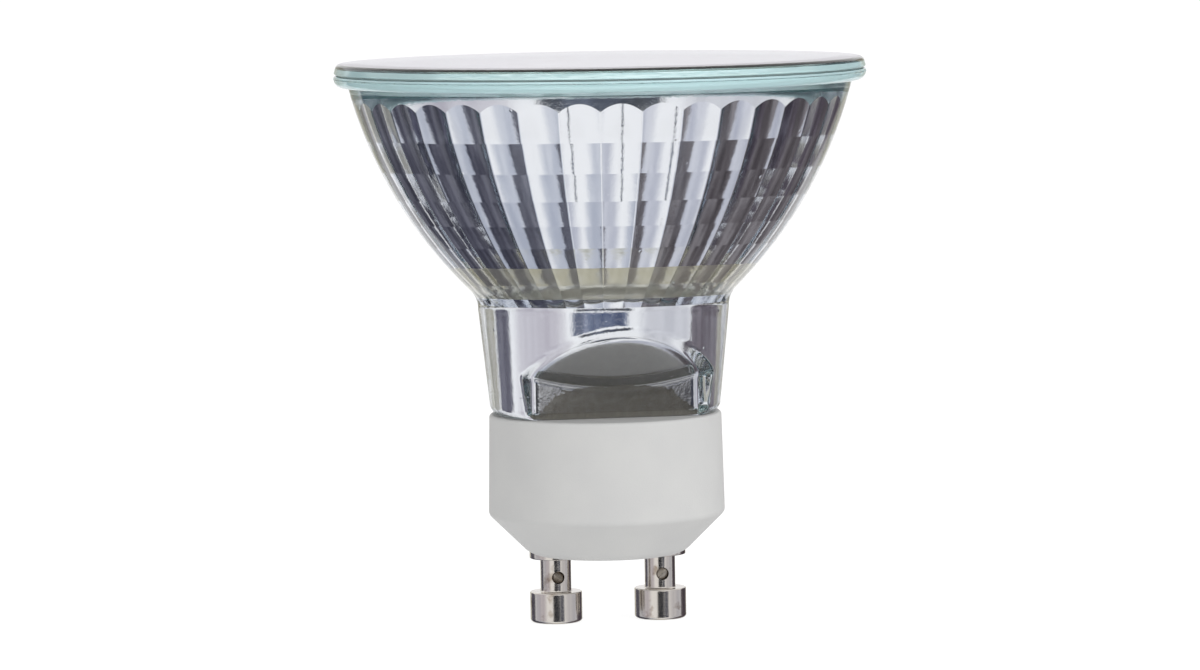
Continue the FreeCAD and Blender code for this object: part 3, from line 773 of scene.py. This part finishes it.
def studio():
    """White tent for metal and glass, a white backdrop, and an even dimmer light for what scatters it.
    A flag darkens the directions near its own, by the cosine between them. A board is seen only through
    glass, and darkens the directions whose parts to its side and upwards are small. Clutter, a noise on
    the directions, makes the dark places uneven."""
    flags = [
        # azimuth, elevation, half angle, soft edge, colour
        (-75, 2, 22, 16, "#CFCBD2"),
        (72, 2, 22, 16, "#D6D6DB"),
        (-100, -48, 36, 12, "#C6CAD5"),
        (100, -48, 36, 12, "#CCCED8"),
        (-157, 0, 11, 3, "#C4C1B4"),
        (157, 0, 11, 3, "#C4C1B4"),
        (-112, -40, 27, 3, "#50505C"),
        (-125, -20, 20, 3, "#55555F"),
        (-129, 0, 11, 4, "#62606E"),
        (112, -40, 28, 3, "#676265"),
        (125, -20, 22, 3, "#676265"),
        (130, 0, 24, 4, "#655E66"),
        # Straight down behind the lamp: a painted shadow of the lamp on the table, grey-beige, for the glass
        # and metal that look down at it.
        (180, -76, 20, 3, "#C2C1B5"),
        (180, 2, 3.5, 1.5, "#EFEDF2"),
        (0, -14, 13.5, 1.5, "#23262E"),
        (10, -15, 11, 1.5, "#2F323A"),
        (27.2, -12, 9.3, 1.2, "#5A5E6C"),
    ]
    boards = [
        # azimuth, elevation, half width, half height, colour
        (-4, 0.8, 26, 2.5, "#66708A"),
        (0, 13, 26, 4, "#363E50"),
        (9, -47, 1, 13, "#39435C"),
    ]
    world = bpy.data.worlds.new("studio")
    scene.world = world
    world.use_nodes = True
    tree = world.node_tree
    direction = add(tree, "ShaderNodeTexCoord").outputs["Generated"]
    path = add(tree, "ShaderNodeLightPath")
    colour = linear("#FFFFFF")
    for azimuth, elevation, half, edge, code in flags:
        ahead = bearing(azimuth, elevation)[2]
        near = add(tree, "ShaderNodeVectorMath", {0: direction, 1: ahead}, operation="DOT_PRODUCT")
        inside = add(tree, "ShaderNodeMapRange", {
            "Value": near.outputs["Value"], "From Min": math.cos(math.radians(half + edge)),
            "From Max": math.cos(math.radians(half))}, interpolation_type="SMOOTHSTEP")
        colour = add(tree, "ShaderNodeMix", {"Factor": inside.outputs["Result"], "A": colour,
                                             "B": linear(code)}, data_type="RGBA").outputs["Result"]
    for azimuth, elevation, half_width, half_height, code in boards:
        side, up, ahead = bearing(azimuth, elevation)
        front = add(tree, "ShaderNodeVectorMath", {0: direction, 1: ahead}, operation="DOT_PRODUCT")
        faced = add(tree, "ShaderNodeMath", {0: front.outputs["Value"], 1: 0.0}, operation="GREATER_THAN")
        inside = add(tree, "ShaderNodeMath", {0: path.outputs["Is Transmission Ray"],
                                              1: faced.outputs["Value"]}, operation="MULTIPLY")
        for axis, half in ((side, half_width), (up, half_height)):
            part = add(tree, "ShaderNodeVectorMath", {0: direction, 1: axis}, operation="DOT_PRODUCT")
            off = add(tree, "ShaderNodeMath", {0: part.outputs["Value"]}, operation="ABSOLUTE")
            within = add(tree, "ShaderNodeMapRange", {
                "Value": off.outputs["Value"], "From Min": math.sin(math.radians(half * (1 + BOARD_EDGE))),
                "From Max": math.sin(math.radians(half))}, interpolation_type="SMOOTHSTEP")
            inside = add(tree, "ShaderNodeMath", {0: inside.outputs["Value"], 1: within.outputs["Result"]},
                         operation="MULTIPLY")
        colour = add(tree, "ShaderNodeMix", {"Factor": inside.outputs["Value"], "A": colour,
                                             "B": linear(code)}, data_type="RGBA").outputs["Result"]
    clutter = add(tree, "ShaderNodeTexNoise", {"Vector": direction, "Scale": 4.0, "Detail": 2.0})
    depth = add(tree, "ShaderNodeMapRange", {"Value": clutter.outputs["Fac"], "From Min": 0.35,
                                             "From Max": 0.65, "To Min": 0.7, "To Max": 1.35})
    room = add(tree, "ShaderNodeGamma", {"Color": colour, "Gamma": depth.outputs["Result"]})
    shiny = add(tree, "ShaderNodeMath", {0: path.outputs["Is Glossy Ray"],
                                         1: path.outputs["Is Transmission Ray"]}, operation="MAXIMUM")
    tent = add(tree, "ShaderNodeBackground", {"Color": room.outputs["Color"], "Strength": 1.0})
    backdrop = add(tree, "ShaderNodeBackground", {"Color": linear("#FFFFFF"), "Strength": 1.0})
    even = add(tree, "ShaderNodeBackground", {"Color": linear("#FFFFFF"), "Strength": 0.82})
    seen = add(tree, "ShaderNodeMixShader", {
        0: path.outputs["Is Camera Ray"], 1: even.outputs[0], 2: backdrop.outputs[0]})
    add(tree, "ShaderNodeMixShader", {0: shiny.outputs[0], 1: seen.outputs[0], 2: tent.outputs[0]},
        {0: tree.nodes["World Output"].inputs["Surface"]})


def floor():
    """Pale square table just under the pins: mostly its own white, a little less of it for what it lights
    than for the camera, with a part that takes the shadow of the lamp."""
    half, level = 6.0, -0.00005
    white_seen, white_sent = 0.86, 0.75
    mesh = bpy.data.meshes.new("floor")
    corners = [(x * half, y * half, level) for x, y in ((-1, -1), (1, -1), (1, 1), (-1, 1))]
    mesh.from_pydata(corners, [], [(0, 1, 2, 3)])
    table = bpy.data.objects.new("floor", mesh)
    scene.collection.objects.link(table)
    material = bpy.data.materials.new("white_table")
    material.use_nodes = True
    tree = material.node_tree
    tree.nodes.remove(tree.nodes["Principled BSDF"])
    path = add(tree, "ShaderNodeLightPath")
    seen = add(tree, "ShaderNodeEmission", {"Color": linear("#FFFFFF"), "Strength": white_seen})
    sent = add(tree, "ShaderNodeEmission", {"Color": linear("#FFFFFF"), "Strength": white_sent})
    own = add(tree, "ShaderNodeMixShader", {
        0: path.outputs["Is Camera Ray"], 1: sent.outputs[0], 2: seen.outputs[0]})
    matt = add(tree, "ShaderNodeBsdfDiffuse", {"Color": linear("#8C8C8C")})
    add(tree, "ShaderNodeAddShader", {0: matt.outputs[0], 1: own.outputs[0]},
        {0: tree.nodes["Material Output"].inputs["Surface"]})
    mesh.materials.append(material)
    table.visible_glossy = False
    table.visible_transmission = False


def lamps():
    """One large soft key from the upper right, for the matt pieces."""
    place = (0.41, -0.66, 0.6)
    turn, tilt = math.radians(32), math.radians(52)
    key = bpy.data.lights.new("key", "AREA")
    key.shape = "DISK"
    key.size = 0.5
    key.energy = 3.5
    thing = bpy.data.objects.new("key", key)
    aim = Matrix.Rotation(turn, 4, "Z") @ Matrix.Rotation(tilt, 4, "X")
    thing.matrix_world = Matrix.Translation(place) @ aim
    thing.visible_glossy = False
    thing.visible_transmission = False
    scene.collection.objects.link(thing)


def camera():
    """In front of the lamp, a little above its rim and looking down on it, turned and rolled as in the
    photograph."""
    place = (-0.00038, -0.523, 0.0709)
    down, roll = math.radians(4.8), math.radians(-0.95)
    lens = bpy.data.cameras.new("camera")
    lens.lens = 167.1
    lens.sensor_width = 36.0
    lens.clip_start = 0.01
    thing = bpy.data.objects.new("camera", lens)
    turn = Matrix.Rotation(math.radians(CAMERA_TURN), 4, "Z")
    aim = Matrix.Rotation(math.pi / 2 - down, 4, "X") @ Matrix.Rotation(roll, 4, "Z")
    thing.matrix_world = turn @ Matrix.Translation(place) @ aim
    scene.collection.objects.link(thing)
    scene.camera = thing


edge_glass = rim_glass()
reflector(edge_glass)
cover(edge_glass)
base()
pin_metal = nickel()
wire_metal = drawn_wire("cut_wire", "#B9B2A8", "#6B635A", 0.3)
# Each cut wire has its own lean of the ridge, in radians, and slope of its sides.
for side, x, lean, depth in (("left", -PIN_X, 0.9, 0.55), ("right", PIN_X, 2.4, 0.3)):
    pin(side, x, pin_metal)
    plug(side, x, wire_metal, lean, depth)
capsule(quartz())
tungsten = drawn_wire("tungsten", "#7C7C80", "#4A4A4E", 0.35)
filament(tungsten)
dress("filament_support", tungsten)
lead_metal = drawn_wire("molybdenum", "#A3A09B", "#77736E", 0.3)
for side in ("left", "right"):
    for node in ("inner_lead", "seal_foil", "outer_lead"):
        dress(f"{node}_{side}", lead_metal)
dress("cement_plug", cement())
dress("lens_seal", seal_silicone())

studio()
floor()
lamps()
camera()
scene.view_settings.view_transform = "Standard"
scene.cycles.max_bounces = 24
scene.cycles.glossy_bounces = 12
scene.cycles.transmission_bounces = 24
